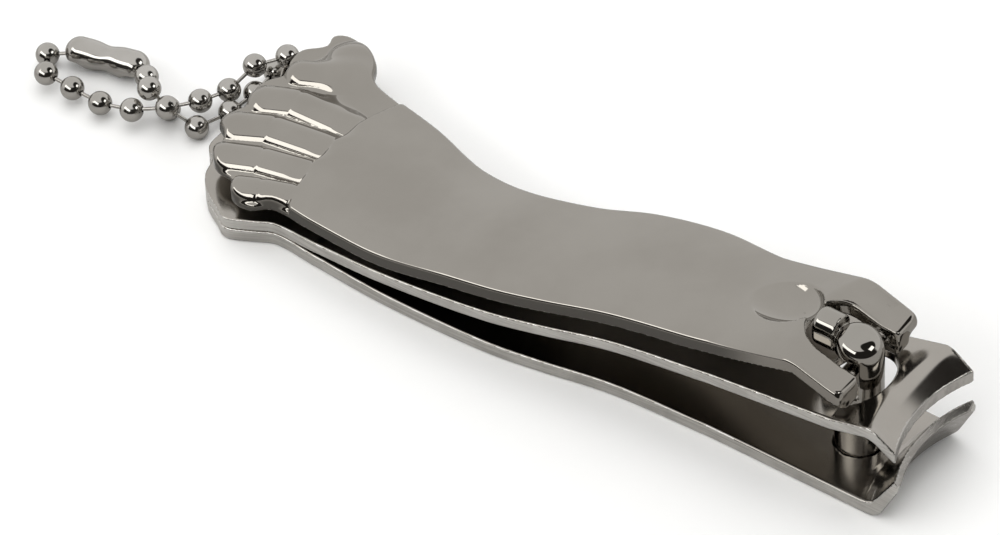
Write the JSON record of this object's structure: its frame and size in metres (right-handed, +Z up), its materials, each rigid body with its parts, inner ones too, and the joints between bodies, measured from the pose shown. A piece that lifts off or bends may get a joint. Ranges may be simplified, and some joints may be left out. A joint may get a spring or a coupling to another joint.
{
  "type": "nail clipper",
  "caption": "Lever nail clipper with sprung jaws, curved cutting edges, a forearm-and-fist lever stored over the jaws and a ball chain.",
  "frame": {"origin": "on the resting plane under the lower jaw, on the post's axis, at the post flange's flat underside", "axes": "+X along the clipper towards the cutting edges, +Z up from the resting plane, +Y towards the thumb of the fist"},
  "size_m": [0.1032, 0.025, 0.0153],
  "materials": {
    "strip_steel": "plated and polished faces, sheared satin edges",
    "lever_steel": "mirror-polished dark nickel plating",
    "post_steel": "polished dark nickel plating",
    "chain_steel": "polished dark nickel plating"
  },
  "bodies": {
    "jaws": {"lower_jaw": "strip_steel", "upper_jaw_root": "strip_steel"},
    "upper_jaw": {"upper_jaw_arm": "strip_steel"},
    "post": {"post": "post_steel"},
    "lever": {"lever": "lever_steel"},
    "chain": {"ball_01": "chain_steel", "ball_02": "chain_steel", "ball_03": "chain_steel", "ball_04": "chain_steel", "ball_05": "chain_steel", "ball_06": "chain_steel", "ball_07": "chain_steel", "ball_08": "chain_steel", "ball_09": "chain_steel", "ball_10": "chain_steel", "ball_11": "chain_steel", "ball_12": "chain_steel", "ball_13": "chain_steel", "ball_14": "chain_steel", "ball_15": "chain_steel", "ball_16": "chain_steel", "ball_17": "chain_steel", "ball_18": "chain_steel", "ball_19": "chain_steel", "ball_20": "chain_steel", "link_01": "chain_steel", "link_02": "chain_steel", "link_03": "chain_steel", "link_04": "chain_steel", "link_05": "chain_steel", "link_06": "chain_steel", "link_07": "chain_steel", "link_08": "chain_steel", "link_09": "chain_steel", "link_10": "chain_steel", "link_11": "chain_steel", "link_12": "chain_steel", "link_13": "chain_steel", "link_14": "chain_steel", "link_15": "chain_steel", "link_16": "chain_steel", "link_17": "chain_steel", "link_18": "chain_steel", "link_19": "chain_steel"},
    "connector": {"chain_connector": "chain_steel"}
  },
  "joints": [
    {"name": "jaw_close", "type": "hinge", "parent": "jaws", "child": "upper_jaw", "pos_m": [-0.0585, 0, 0.0014], "axis": [0, 1, 0], "range_deg": [0, 1.7], "stiffness_Nm_per_rad": 1},
    {"name": "post_spin", "type": "hinge", "parent": "jaws", "child": "post", "pos_m": [0, 0, 0], "axis": [0, 0, 1], "continuous": true},
    {"name": "lever_lift", "type": "hinge", "parent": "post", "child": "lever", "pos_m": [0.00025, 0, 0.01155], "axis": [0, 1, 0], "range_deg": [0, 140]},
    {"name": "chain_swing", "type": "hinge", "parent": "jaws", "child": "chain", "pos_m": [-0.0703, 0.0105, 0.002], "axis": [0, 0, 1], "range_deg": [-25, 0]},
    {"name": "connector_swivel", "type": "hinge", "parent": "chain", "child": "connector", "pos_m": [-0.08835, 0.0025, 0.0015], "axis": [0.9734, 0.229, 0], "range_deg": [-10, 10]}
  ]
}
